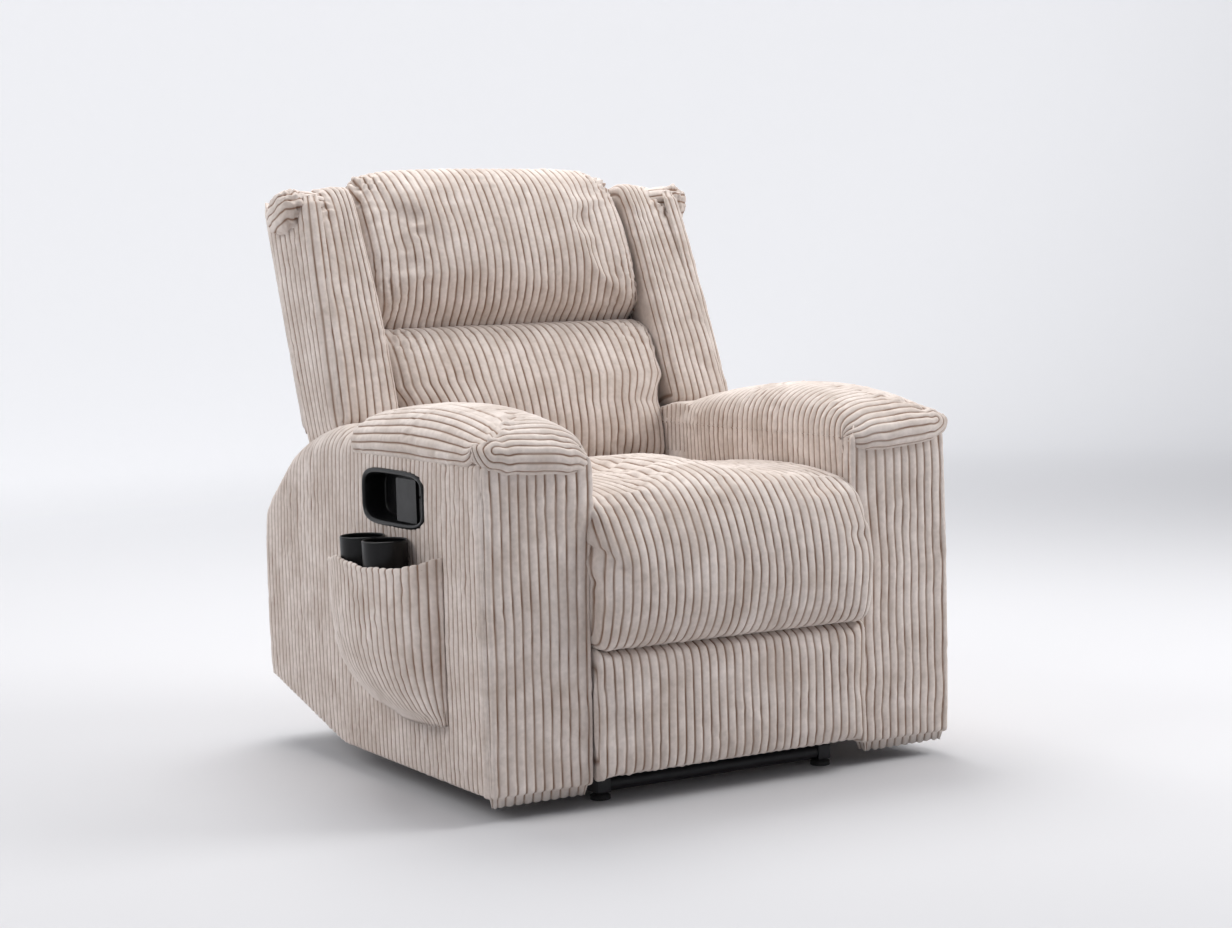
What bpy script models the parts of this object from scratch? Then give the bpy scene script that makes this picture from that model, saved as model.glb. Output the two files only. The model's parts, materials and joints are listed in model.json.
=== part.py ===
"""Powered lift recliner chair: a lifting base, a seat chassis, a reclining back and a folding footrest."""
import math

import bmesh
import bpy
from mathutils import Matrix

# Driving sizes, metres. x runs across the chair, y from the front face of the arms to the rear, z up.
WIDTH = 0.900              # over both arms
ARM_WIDTH = 0.1877         # one arm
ARM_TOP = 0.5627           # top of the arm panels, under the pads
SEAT_DEPTH = 0.586         # front face of the arms to the rear of the seat cushion
SEAT_TOP = 0.524           # crown of the seat cushion
BACK_HEIGHT = 0.600        # back frame above its hinge, along the lean
BACK_LEAN = math.radians(20)
BOTTOM = 0.040             # underside of the arms
GAP = 0.0003               # between faces that touch
CLEAR = 0.0005             # pin in its hole

# Derived places
ARM_IN = WIDTH / 2 - ARM_WIDTH
ARM_OUT = WIDTH / 2
PANEL = 0.0255             # board, foam and cover of one arm panel
HINGE = (SEAT_DEPTH + 0.124, ARM_TOP - 0.1427)
REAR = HINGE[0] + 0.194
SEAT_NOSE = -0.045         # front of the seat cushion
BACK_FACE = 0.001          # rear of the back panel, behind the hinge along the lean
BACK_PANEL_TOP = BACK_HEIGHT - 0.004
HEAD_REAR = (-0.008, BACK_HEIGHT + 0.030)  # where the head cushion hangs over the back
BACK_END = HINGE[0] + HEAD_REAR[0] * math.cos(BACK_LEAN) + HEAD_REAR[1] * math.sin(BACK_LEAN)
POCKET_BULGE = 0.087
PAD_OVER = 0.004           # pad past the arm's outer face
MIDDLE = ((SEAT_NOSE + BACK_END) / 2)                  # middle of the whole chair's depth
ASIDE = (PAD_OVER - POCKET_BULGE - 0.002 - GAP) / 2    # middle of its width, with the pocket on one side
DECK = 0.322               # underside of the seat rails
PLATE = 0.0060             # mechanism plate
LINK = 0.0050              # link thickness
PITCH = LINK + 0.0010      # one link layer and its gap
PIN = 0.0050               # pin radius
PLATE_IN = ARM_IN - GAP - PLATE
LAYER = [PLATE_IN - 0.0012 - LINK - i * PITCH for i in range(4)]  # inner face of each link layer
RAIL_TOP = 0.037
RAIL_X = LAYER[3] - 0.0020 - 0.0250  # inner face of a base rail
LIFT_PIVOT = (0.200, 0.055)
LIFT_END = (0.560, 0.095)
FRONT_PIVOT = (0.100, 0.052)
FRONT_END = (0.300, 0.088)
HORN = 0.060               # lift horn radius
HORN_ANGLE = math.radians(95)
MOTOR_PIVOT = (0.620, 0.070)
FOLD_PIVOT = (0.120, 0.270)
KNEE = (FOLD_PIVOT[0] + 0.22 * math.cos(math.radians(40)), FOLD_PIVOT[1] - 0.22 * math.sin(math.radians(40)))
BOARD_PIVOT = (0.050, 0.150)
HANDLE = (0.318, ARM_TOP - 0.0722)   # middle of the handle's plate
HANDLE_SIZE = (0.236, 0.093)
CUP_RADIUS = 0.038
CUP_TOP = ARM_TOP - 0.1327
CUP_HEIGHT = 0.150
CUP_X = -(ARM_OUT + 0.0045 + CUP_RADIUS)
CUP_Y = (0.265, 0.353)

for leftover in list(bpy.data.objects):
    bpy.data.objects.remove(leftover)
parts = bpy.data.collections.new("lift_recliner_chair")
cutters = bpy.data.collections.new("cutters")
for group in (parts, cutters):
    bpy.context.scene.collection.children.link(group)


def material(name, colour, roughness, metallic=0.0):
    made = bpy.data.materials.new(name)
    made.use_nodes = True
    shader = made.node_tree.nodes["Principled BSDF"]
    shader.inputs["Base Color"].default_value = (*colour, 1)
    shader.inputs["Roughness"].default_value = roughness
    shader.inputs["Metallic"].default_value = metallic
    return made


corduroy = material("corduroy", (0.68, 0.62, 0.55), 0.95)
steel = material("black_steel", (0.035, 0.035, 0.038), 0.45, 0.6)
wire = material("spring_wire", (0.45, 0.45, 0.46), 0.35, 1.0)
wood = material("plywood", (0.55, 0.40, 0.24), 0.8)
rubber = material("rubber", (0.02, 0.02, 0.02), 0.85)
plastic = material("black_plastic", (0.02, 0.02, 0.022), 0.4)
alloy = material("actuator_rod", (0.70, 0.71, 0.72), 0.25, 1.0)


def empty(name, place, lean=0.0, parent=None):
    made = bpy.data.objects.new(name, None)
    made.location = place
    made.rotation_euler = (lean, 0, 0)
    made.parent = parent
    parts.objects.link(made)
    return made


origin = empty("chair_origin", (-ASIDE, -MIDDLE, 0))
back_hinge = empty("back_hinge", (0, *HINGE), -BACK_LEAN, origin)


def place(name, mesh, look, parent, tool=False, smooth=40):
    """Link a new object and shade it smooth up to the given angle."""
    made = bpy.data.objects.new(name, mesh)
    (cutters if tool else parts).objects.link(made)
    made.parent = parent
    if tool:
        made.hide_render = True
        made.display_type = "WIRE"
    else:
        mesh.materials.clear()
        mesh.materials.append(look)
        mesh.shade_smooth()
        mesh.set_sharp_from_angle(angle=math.radians(smooth))
    return made


def welded(curve):
    """Turn a curve object into a closed mesh, keeping its place."""
    bpy.context.view_layer.update()
    mesh = bpy.data.meshes.new_from_object(curve.evaluated_get(bpy.context.evaluated_depsgraph_get()))
    grid = bmesh.new()
    grid.from_mesh(mesh)
    bmesh.ops.remove_doubles(grid, verts=grid.verts, dist=0.00002)
    grid.to_mesh(mesh)
    grid.free()
    bpy.data.objects.remove(curve)
    return mesh


def slab(name, outline, x0, x1, look=steel, pivot=(0, 0), rounded=0.0, steps=2, parent=origin, tool=False):
    """A flat outline in (y, z), extruded from x0 to x1, its long edges rounded if asked."""
    x0, x1 = sorted((x0, x1))
    area = sum(a[0] * b[1] - b[0] * a[1] for a, b in zip(outline, outline[1:] + outline[:1]))
    outline = outline if area > 0 else outline[::-1]
    data = bpy.data.curves.new(name, "CURVE")
    data.dimensions = "2D"
    data.fill_mode = "BOTH"
    data.extrude = (x1 - x0) / 2 - rounded
    data.bevel_depth = rounded
    data.bevel_resolution = steps
    data.offset = -rounded
    line = data.splines.new("POLY")
    line.points.add(len(outline) - 1)
    for point, (y, z) in zip(line.points, outline):
        point.co = (y - pivot[0], z - pivot[1], 0, 1)
    line.use_cyclic_u = True
    curve = bpy.data.objects.new(name, data)
    parts.objects.link(curve)
    made = place(name, welded(curve), look, parent, tool)
    made.location = ((x0 + x1) / 2, *pivot)
    made.rotation_euler = (math.pi / 2, 0, math.pi / 2)
    return made


def bar(name, radius, start, end, look=steel, sides=24, parent=origin, tool=False):
    """A round bar between two points."""
    grid = bmesh.new()
    length = math.dist(start, end)
    bmesh.ops.create_cone(grid, cap_ends=True, segments=sides, radius1=radius, radius2=radius, depth=length)
    mesh = bpy.data.meshes.new(name)
    grid.to_mesh(mesh)
    grid.free()
    made = place(name, mesh, look, parent, tool)
    middle = [(a + b) / 2 for a, b in zip(start, end)]
    step = [b - a for a, b in zip(start, end)]
    made.location = middle
    if abs(step[0]) > 0.5 * length:
        made.rotation_euler = (0, math.pi / 2, 0)
    else:
        made.rotation_euler = (math.atan2(-step[1], step[2]), 0, 0)
    return made


def box(name, low, high, look=steel, rounded=0.0, parent=origin, tool=False):
    """A box between two corners, its edges rounded if asked."""
    grid = bmesh.new()
    size = [b - a for a, b in zip(low, high)]
    bmesh.ops.create_cube(grid, size=1, matrix=Matrix.Diagonal((*size, 1)))
    mesh = bpy.data.meshes.new(name)
    grid.to_mesh(mesh)
    grid.free()
    made = place(name, mesh, look, parent, tool)
    made.location = [(a + b) / 2 for a, b in zip(low, high)]
    if rounded:
        soften(made, rounded)
    return made


def turned(name, profile, centre, look, steps=32):
    """A profile of (radius, z) from top to bottom on its outer side, turned about a vertical axis."""
    mesh = bpy.data.meshes.new(name)
    mesh.from_pydata([(r, 0, z) for r, z in profile], [(i, i + 1) for i in range(len(profile) - 1)], [])
    made = place(name, mesh, look, origin)
    made.location = centre
    turn = made.modifiers.new("turn", "SCREW")
    turn.steps = steps
    turn.render_steps = steps
    turn.use_merge_vertices = True
    turn.merge_threshold = 0.00005
    return made


def soften(target, width, segments=2):
    edge = target.modifiers.new("rounding", "BEVEL")
    edge.width = width
    edge.segments = segments
    edge.limit_method = "ANGLE"
    edge.angle_limit = math.radians(40)


def combine(target, tool, operation="DIFFERENCE"):
    joined = target.modifiers.new(tool.name, "BOOLEAN")
    joined.operation = operation
    joined.object = tool


def arc(centre, radius, start, end, steps=8):
    """Points on a circle in (y, z), angles in degrees."""
    turns = [math.radians(start + (end - start) * i / steps) for i in range(steps + 1)]
    return [(centre[0] + radius * math.cos(t), centre[1] + radius * math.sin(t)) for t in turns]


def strap(start, end, half):
    """Outline of a straight link with round ends."""
    lead = math.degrees(math.atan2(end[1] - start[1], end[0] - start[0]))
    return arc(start, half, lead + 90, lead + 270) + arc(end, half, lead - 90, lead + 90)


def pinned(target, spot, x0, x1, radius=PIN):
    """Weld a pin along x onto a plate or link."""
    tool = bar(target.name + "_pin", radius, (x0, *spot), (x1, *spot), tool=True)
    combine(target, tool, "UNION")


def drilled(target, spot, radius=PIN + CLEAR):
    """A hole along x at (y, z)."""
    reach = WIDTH
    tool = bar(target.name + "_hole", radius, (-reach, *spot), (reach, *spot), tool=True)
    combine(target, tool)


def sides():
    return (("right", -1), ("left", 1))


def lift_base():
    """Two rails with bearing lugs, two cross tubes and four glide feet."""
    front, rear = 0.050, 0.640
    for side, s in sides():
        x0, x1 = s * RAIL_X, s * (RAIL_X + 0.025)
        low, high = (min(x0, x1), front, 0.012), (max(x0, x1), rear, RAIL_TOP)
        rail = box(f"base_rail_{side}", low, high, rounded=0.002)
        for i, (y, z) in enumerate((LIFT_PIVOT, FRONT_PIVOT)):
            outline = [(y - 0.018, 0.014), (y + 0.018, 0.014)] + arc((y, z), 0.018, 0, 180)
            lug = slab(f"lug_{side}_{i}", outline, x0 + s * 0.0095, x1 - s * 0.0095, tool=True)
            combine(rail, lug, "UNION")
        drilled(rail, LIFT_PIVOT, 0.011 + CLEAR)
        pinned(rail, FRONT_PIVOT, s * (RAIL_X + 0.012), s * (LAYER[2] + LINK))
        for end, y in (("front", front + 0.015), ("rear", rear - 0.060)):
            foot = [(0, 0.0117), (0.010, 0.0117), (0.017, 0.007), (0.017, 0.001), (0.015, 0), (0, 0)]
            turned(f"glide_foot_{end}_{side}", foot, (s * (RAIL_X + 0.0125), y, 0), rubber, 24)
    inner = RAIL_X - GAP
    bar("base_tube_front", 0.0125, (-inner, 0.0645, 0.0245), (inner, 0.0645, 0.0245))
    tube = bar("base_tube_rear", 0.0125, (-inner, MOTOR_PIVOT[0], 0.0245), (inner, MOTOR_PIVOT[0], 0.0245))
    y, z = MOTOR_PIVOT
    for i, x in enumerate((-0.0225, 0.0175)):
        cheek = [(y - 0.016, 0.020), (y + 0.016, 0.020)] + arc((y, z), 0.014, 0, 180)
        combine(tube, slab(f"motor_cheek_{i}", cheek, x, x + 0.005, tool=True), "UNION")
    pinned(tube, MOTOR_PIVOT, -0.020, 0.020)


def lift_linkage():
    """Rear lift arms on one torque tube, and the front links."""
    for side, s in sides():
        arm = slab(f"lift_arm_{side}", strap(LIFT_PIVOT, LIFT_END, 0.017), s * LAYER[3],
                   s * (LAYER[3] + LINK), pivot=LIFT_PIVOT)
        drilled(arm, LIFT_PIVOT, 0.011 + GAP)
        drilled(arm, LIFT_END)
        link = slab(f"front_link_{side}", strap(FRONT_PIVOT, FRONT_END, 0.014), s * LAYER[2],
                    s * (LAYER[2] + LINK), pivot=FRONT_PIVOT)
        drilled(link, FRONT_PIVOT)
        drilled(link, FRONT_END, PIN + 0.0038)
    reach = LAYER[3] + LINK
    tube = bar("lift_torque_tube", 0.011, (-reach, *LIFT_PIVOT), (reach, *LIFT_PIVOT))
    horn = horn_end()
    for i, x in enumerate((-0.0195, 0.0145)):
        combine(tube, slab(f"horn_{i}", strap(LIFT_PIVOT, horn, 0.012), x, x + 0.005, tool=True), "UNION")
    pinned(tube, horn, -0.017, 0.017)


def horn_end():
    return (LIFT_PIVOT[0] + HORN * math.cos(HORN_ANGLE), LIFT_PIVOT[1] + HORN * math.sin(HORN_ANGLE))


def actuator():
    """Motor housing, outer tube and push rod, along the line from the rear cross tube to the horn."""
    horn = horn_end()
    reach = math.dist(MOTOR_PIVOT, horn)
    along = empty("actuator_axis", (0, *MOTOR_PIVOT), math.atan2(horn[1] - MOTOR_PIVOT[1],
                                                                horn[0] - MOTOR_PIVOT[0]) - math.pi, origin)
    motor = box("actuator_motor", (-0.0165, -0.115, -0.022), (0.0165, -0.017, 0.034), plastic, 0.004, along)
    eye = slab("motor_eye", strap((0, 0), (-0.030, 0), 0.010), -0.0130, 0.0130, parent=along, tool=True)
    combine(motor, eye, "UNION")
    hole = bar("motor_eye_hole", PIN + CLEAR, (-0.1, 0, 0), (0.1, 0, 0), parent=along, tool=True)
    combine(motor, hole)
    tube_end = 0.330
    sleeve = bar("actuator_tube", 0.0150, (0, -0.1153, 0), (0, -tube_end, 0), alloy, parent=along)
    bore = bar("tube_bore", 0.0108, (0, -0.140, 0), (0, -tube_end - 0.02, 0), parent=along, tool=True)
    combine(sleeve, bore)
    rod = bar("actuator_rod", 0.0100, (0, -0.150, 0), (0, -reach + 0.012, 0), alloy, parent=along)
    fork = slab("rod_eye", arc((-reach, 0), 0.017, 0, 360, 24)[:-1], -0.0120, 0.0120, parent=along, tool=True)
    combine(rod, fork, "UNION")
    slot = bar("rod_eye_slot", PIN + 0.0068, (-0.1, -reach, 0), (0.1, -reach, 0), parent=along, tool=True)
    combine(rod, slot)


def chassis():
    """Mechanism plates, seat rails, springs and the rear cover."""
    outline = [(0.090, DECK + 0.020), (0.090, 0.250), (0.250, 0.150), (0.278, 0.074), (0.322, 0.074),
               (0.350, 0.150), (0.510, 0.150), (0.538, 0.078), (0.582, 0.078), (0.630, 0.200)]
    outline += arc(HINGE, 0.030, -30, 150) + [(SEAT_DEPTH + 0.040, DECK + 0.020)]
    for side, s in sides():
        plate = slab(f"mechanism_plate_{side}", outline, s * PLATE_IN, s * (PLATE_IN + PLATE))
        drilled(plate, HINGE)
        pinned(plate, FOLD_PIVOT, s * LAYER[0], s * (PLATE_IN + 0.003))
        pinned(plate, FRONT_END, s * LAYER[2], s * (PLATE_IN + 0.003))
        pinned(plate, LIFT_END, s * LAYER[3], s * (PLATE_IN + 0.003))
    inner = PLATE_IN - GAP
    rails = {"seat_rail_front": 0.140, "seat_rail_rear": SEAT_DEPTH - 0.016}
    for name, front in rails.items():
        box(name, (-inner, front, DECK), (inner, front + 0.036, DECK + 0.020), wood, 0.002)
    for side, x in (("right", -0.130), ("middle", 0.0), ("left", 0.130)):
        spring(f"seat_spring_{side}", x, 0.150, rails["seat_rail_rear"] + 0.020, DECK + 0.0220)
    low, high = (-ARM_IN + GAP, REAR - 0.036, 0.135), (ARM_IN - GAP, REAR - 0.024, HINGE[1] - 0.010)
    box("rear_cover", low, high, corduroy, 0.003)


def spring(name, x, start, end, z):
    """A zigzag wire spring lying on the seat rails."""
    waves, across, points = 12, 0.022, 6
    data = bpy.data.curves.new(name, "CURVE")
    data.dimensions = "3D"
    data.bevel_depth = 0.0016
    data.bevel_resolution = 1
    data.use_fill_caps = True
    line = data.splines.new("POLY")
    count = waves * points
    line.points.add(count)
    for i, point in enumerate(line.points):
        share = i / count
        point.co = (x + across * math.sin(share * waves * math.pi), start + (end - start) * share, z, 1)
    curve = bpy.data.objects.new(name, data)
    parts.objects.link(curve)
    place(name, welded(curve), wire, origin)


def seat():
    """Seat cushion with a waterfall front that hangs over the footrest."""
    lip, under = SEAT_NOSE, DECK + 0.030
    outline = [(0.024, under), (0.024, 0.265), (-0.010, 0.262), (-0.034, 0.270), (lip + 0.003, 0.300),
               (lip, 0.400), (lip, 0.470), (-0.032, 0.500), (0.000, SEAT_TOP - 0.006), (0.060, SEAT_TOP),
               (0.300, SEAT_TOP - 0.002), (SEAT_DEPTH - 0.060, SEAT_TOP - 0.018),
               (SEAT_DEPTH - 0.015, SEAT_TOP - 0.030), (SEAT_DEPTH, SEAT_TOP - 0.055), (SEAT_DEPTH, under)]
    slab("seat_cushion", outline, -ARM_IN + 0.0015, ARM_IN - 0.0015, corduroy, rounded=0.012)


def arm_line(front, inset=0.0):
    """Side outline of an arm: long bottom, cut rear corners, sloped rear top."""
    low, top = BOTTOM + inset, ARM_TOP - inset
    return [(front, low), (SEAT_DEPTH - 0.019, low), (REAR - 0.014 - inset, low + 0.083),
            (REAR - inset, top - 0.119), (HINGE[0] - 0.029, top - 0.0127),
            (SEAT_DEPTH + 0.014, top), (front, top)]


def arms():
    """Two box arms: outer, inner, front and rear panels, a top board and a rolled pad."""
    deep = 0.026
    for side, s in sides():
        outer = slab(f"arm_outer_panel_{side}", arm_line(deep + GAP), s * (ARM_OUT - PANEL), s * ARM_OUT,
                     corduroy, rounded=0.006)
        if s < 0:
            hole = handle_block("handle_hole", 0.010, 0.0012 + GAP, 0.060, tool=True)
            combine(outer, hole)
        slab(f"arm_inner_panel_{side}", arm_line(deep + GAP, 0.030), s * ARM_IN, s * (ARM_IN + 0.022),
             corduroy, rounded=0.004)
        front = [(0, BOTTOM), (deep, BOTTOM), (deep, ARM_TOP), (0, ARM_TOP)]
        slab(f"arm_front_panel_{side}", front, s * ARM_IN, s * ARM_OUT, corduroy, rounded=0.006)
        inside, outside = s * (ARM_IN + 0.022 + GAP), s * (ARM_OUT - PANEL - GAP)
        box_x = (min(inside, outside), max(inside, outside))
        low, high = (box_x[0], deep + GAP, ARM_TOP - 0.018), (box_x[1], SEAT_DEPTH - 0.010, ARM_TOP)
        box(f"arm_board_{side}", low, high, wood, 0.001)
        line = arm_line(deep, 0.002)[2:6]
        skin = 0.012
        inner_line = [(REAR - 0.016 - skin, BOTTOM + 0.095), (REAR - skin - 0.004, ARM_TOP - 0.128),
                      (HINGE[0] - 0.031, ARM_TOP - 0.028), (SEAT_DEPTH + 0.014, ARM_TOP - 0.0155)]
        slab(f"arm_rear_panel_{side}", line + inner_line[::-1], inside, outside, corduroy)
        arm_pad(side, s)


def arm_pad(side, s):
    """Rolled pad: flat underside, crowned top, nose that hangs over the front panel."""
    seatline, nose = ARM_TOP + GAP, -0.018
    outline = [(-GAP - 0.0007, seatline), (-GAP - 0.0007, seatline - 0.020), (nose + 0.006, seatline - 0.017),
               (nose, seatline + 0.010), (nose + 0.002, seatline + 0.034), (nose + 0.018, seatline + 0.052),
               (0.040, seatline + 0.066), (0.140, seatline + 0.077), (0.240, seatline + 0.081),
               (0.440, seatline + 0.075), (0.550, seatline + 0.056), (SEAT_DEPTH + 0.004, seatline + 0.034),
               (SEAT_DEPTH + 0.010, seatline + 0.012), (SEAT_DEPTH + 0.008, seatline)]
    slab(f"arm_pad_{side}", outline, s * (ARM_IN - 0.0010), s * (ARM_OUT + PAD_OVER), corduroy, rounded=0.004)


def rounded_box(half_y, half_z, radius, centre, steps=5):
    """Rounded rectangle in (y, z)."""
    points = []
    for quarter, (sy, sz) in enumerate(((1, 1), (-1, 1), (-1, -1), (1, -1))):
        corner = (centre[0] + sy * (half_y - radius), centre[1] + sz * (half_z - radius))
        points += arc(corner, radius, 90 * quarter, 90 * quarter + 90, steps)
    return points


def handle_block(name, proud, grow, depth, rim=0.007, tool=False):
    """The handle's recessed pan, or the hole for it in the arm panel."""
    half = (HANDLE_SIZE[0] / 2 - rim + grow, HANDLE_SIZE[1] / 2 - rim + grow)
    outline = rounded_box(*half, 0.026 + grow, HANDLE)
    return slab(name, outline, -ARM_OUT - proud, -ARM_OUT + depth, plastic, tool=tool)


def release_handle():
    """Recessed pull handle on the outer face of the right arm, with a hinged flap."""
    proud, depth, wall = 0.0040, 0.040, 0.0025
    rim = rounded_box(HANDLE_SIZE[0] / 2, HANDLE_SIZE[1] / 2, 0.033, HANDLE, 8)
    bezel = slab("handle_bezel", rim, -ARM_OUT - proud, -ARM_OUT - GAP, plastic, rounded=0.0012)
    combine(bezel, handle_block("handle_pan", GAP + 0.0005, 0.0, depth, tool=True), "UNION")
    half = (HANDLE_SIZE[0] / 2 - 0.007 - wall, HANDLE_SIZE[1] / 2 - 0.007 - wall)
    recess = slab("handle_recess", rounded_box(*half, 0.0235, HANDLE), -ARM_OUT - 0.02,
                  -ARM_OUT + depth - wall, tool=True)
    combine(bezel, recess)
    front = HANDLE[0] - half[0]
    hinge = (-ARM_OUT - 0.0010, front + 0.0240)
    reach = half[1] + wall - 0.0010
    socket = bar("flap_sockets", 0.0020 + CLEAR, (hinge[0] + 0.0035, hinge[1], HANDLE[1] - reach),
                 (hinge[0] + 0.0035, hinge[1], HANDLE[1] + reach), sides=16, tool=True)
    combine(bezel, socket)
    flap = slab("handle_flap", rounded_box(0.0375, half[1] - 0.0012, 0.0040, (hinge[1] + 0.0325, HANDLE[1])),
                hinge[0], hinge[0] + 0.0060, plastic, pivot=(hinge[1], HANDLE[1]))
    pin = bar("flap_pin", 0.0020, (hinge[0] + 0.0035, hinge[1], HANDLE[1] - reach + 0.0006),
              (hinge[0] + 0.0035, hinge[1], HANDLE[1] + reach - 0.0006), sides=16, tool=True)
    combine(flap, pin, "UNION")


def pocket_line(bulge, front, rear, inset, steps=18):
    """Plan outline in (x, y) of the pocket: flat on the arm, bulged outwards."""
    base, points = -ARM_OUT - GAP - 0.002 - inset, []
    for i in range(steps + 1):
        share = i / steps
        swell = max(0.0, math.sin(math.pi * share)) ** 0.38
        points.append((base - (bulge - 2 * inset) * swell, front + (rear - front) * share))
    return points


def side_pocket():
    """Bulged pouch with an open top, on the outer face of the right arm, and its two cup holders."""
    front, rear, top = 0.137, 0.500, ARM_TOP - 0.170
    skin, floor = 0.005, CUP_TOP - CUP_HEIGHT - 0.004
    levels = [(floor - 0.135, 0.35, 0.020), (floor - 0.090, 0.75, 0.058), (floor - 0.020, 0.96, 0.084),
              (top, 1, POCKET_BULGE)]
    pouch = loft("side_pocket", levels, front, rear)
    levels = [(floor, 1, POCKET_BULGE), (top + 0.05, 1, POCKET_BULGE)]
    hollow = loft("pocket_hollow", levels, front + skin, rear - skin, skin, True)
    combine(pouch, hollow)
    wall = 0.0025
    inside = CUP_RADIUS - wall
    profile = [(inside, 0), (CUP_RADIUS, 0), (CUP_RADIUS - 0.003, -CUP_HEIGHT), (0, -CUP_HEIGHT),
               (0, -CUP_HEIGHT + wall), (inside - 0.003, -CUP_HEIGHT + wall), (inside, 0)]
    for end, y in zip(("front", "rear"), CUP_Y):
        turned(f"cup_holder_{end}", profile, (CUP_X, y, CUP_TOP), plastic, 40)


def loft(name, levels, front, rear, inset=0.0, tool=False):
    """Stacked plan outlines, each (height, share of the length, bulge), joined by walls."""
    grid = bmesh.new()
    rings = []
    for height, share, bulge in levels:
        line = pocket_line(bulge, front, front + (rear - front) * share, inset)
        flat = -ARM_OUT - GAP - inset * 0.5
        ring = line + [(flat, line[-1][1]), (flat, line[0][1])]
        rings.append([grid.verts.new((x, y, height)) for x, y in ring])
    for low, high in zip(rings, rings[1:]):
        for i in range(len(low)):
            j = (i + 1) % len(low)
            grid.faces.new((low[i], low[j], high[j], high[i]))
    grid.faces.new(rings[0])
    grid.faces.new(rings[-1])
    bmesh.ops.recalc_face_normals(grid, faces=grid.faces)
    mesh = bpy.data.meshes.new(name)
    grid.to_mesh(mesh)
    grid.free()
    return place(name, mesh, corduroy, origin, tool, 60)


def back():
    """Back frame, cushions, wings and rear panel, in the back's leaning frame (rearward, upward)."""
    post_x = LAYER[0] - 0.0010
    for side, s in sides():
        bracket = slab(f"back_bracket_{side}", strap((0, 0), (-0.010, 0.150), 0.016), s * LAYER[0],
                       s * (LAYER[0] + LINK), parent=back_hinge)
        pin = bar(f"back_pin_{side}", PIN, (s * LAYER[0], 0, 0), (s * (PLATE_IN + PLATE - 0.0005), 0, 0),
                  parent=back_hinge, tool=True)
        combine(bracket, pin, "UNION")
        low, high = sorted((s * (post_x - 0.030), s * post_x))
        box(f"back_post_{side}", (low, -0.040, 0.050), (high, -0.014, BACK_HEIGHT), wood, 0.002, back_hinge)
        wing = [(-0.148, 0.150), (-0.016, 0.146), (-0.0125, 0.200), (-0.0125, 0.560), (-0.016, 0.595),
                (-0.050, 0.612), (-0.100, 0.606), (-0.130, 0.580), (-0.140, 0.500), (-0.156, 0.300),
                (-0.158, 0.175)]
        slab(f"back_wing_{side}", wing, s * (ARM_IN + 0.012), s * (ARM_OUT - 0.028), corduroy, rounded=0.012,
             parent=back_hinge)
    inner = post_x - 0.030 - GAP
    for name, h in (("back_rail_bottom", 0.060), ("back_rail_top", BACK_HEIGHT - 0.050)):
        box(name, (-inner, -0.040, h), (inner, -0.014, h + 0.040), wood, 0.002, back_hinge)
    lumbar = [(-0.0405, 0.040), (-0.0405, 0.332), (-0.085, 0.334), (-0.130, 0.310), (-0.146, 0.200),
              (-0.140, 0.090), (-0.118, 0.036), (-0.080, 0.026)]
    slab("lumbar_cushion", lumbar, -ARM_IN + 0.004, ARM_IN - 0.004, corduroy, rounded=0.012,
         parent=back_hinge)
    head = [(-0.0405, 0.336), (-0.0405, BACK_HEIGHT + 0.004), (-0.006, BACK_HEIGHT + 0.006),
            HEAD_REAR, (-0.040, BACK_HEIGHT + 0.048), (-0.090, BACK_HEIGHT + 0.040),
            (-0.125, BACK_HEIGHT - 0.020), (-0.142, 0.480), (-0.146, 0.400), (-0.125, 0.352), (-0.085, 0.338)]
    slab("head_cushion", head, -ARM_IN - 0.007, ARM_IN + 0.007, corduroy, rounded=0.010, parent=back_hinge)
    wide, narrow, step = ARM_OUT - 0.032, LAYER[0] - 0.001, 0.172
    cover = box("back_cover", (-narrow, BACK_FACE - 0.013, 0.030), (narrow, BACK_FACE, BACK_PANEL_TOP),
                corduroy, parent=back_hinge)
    spread = box("back_cover_wide", (-wide, BACK_FACE - 0.013, step), (wide, BACK_FACE, BACK_PANEL_TOP),
                 parent=back_hinge, tool=True)
    combine(cover, spread, "UNION")
    soften(cover, 0.003)


def footrest():
    """Padded leg panel on a steel pan, carried by two folding link pairs."""
    width = LAYER[2] + LINK
    for side, s in sides():
        lower = slab(f"footrest_link_lower_{side}", strap(FOLD_PIVOT, KNEE, 0.011), s * LAYER[0],
                     s * (LAYER[0] + LINK), pivot=FOLD_PIVOT)
        drilled(lower, FOLD_PIVOT)
        pinned(lower, KNEE, s * LAYER[1], s * (LAYER[0] + 0.003))
        upper = slab(f"footrest_link_upper_{side}", strap(KNEE, BOARD_PIVOT, 0.011), s * LAYER[1],
                     s * (LAYER[1] + LINK), pivot=KNEE)
        drilled(upper, KNEE)
        drilled(upper, BOARD_PIVOT)
    pan = box("footrest_pan", (-width, 0.0173, 0.070), (width, 0.0293, 0.236))
    for side, s in sides():
        ear = [(0.026, 0.120), (0.050, 0.136)] + arc(BOARD_PIVOT, 0.014, -90, 90)[1:] + [(0.026, 0.182)]
        tab = slab(f"footrest_ear_{side}", ear, s * LAYER[2], s * (LAYER[2] + LINK), tool=True)
        combine(pan, tab, "UNION")
        pinned(pan, BOARD_PIVOT, s * (LAYER[2] + 0.002), s * (LAYER[1] + LINK))
    outline = [(0.017, 0.052), (0.017, 0.2535), (-0.010, 0.2535), (-0.022, 0.236), (-0.022, 0.074),
               (-0.012, 0.052)]
    slab("footrest_pad", outline, -ARM_IN + 0.0035, ARM_IN - 0.0035, corduroy, rounded=0.005)


lift_base()
lift_linkage()
actuator()
chassis()
seat()
arms()
release_handle()
side_pocket()
back()
footrest()
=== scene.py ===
import json
import math

import bpy
import numpy as np
from mathutils import Matrix, Vector


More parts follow.
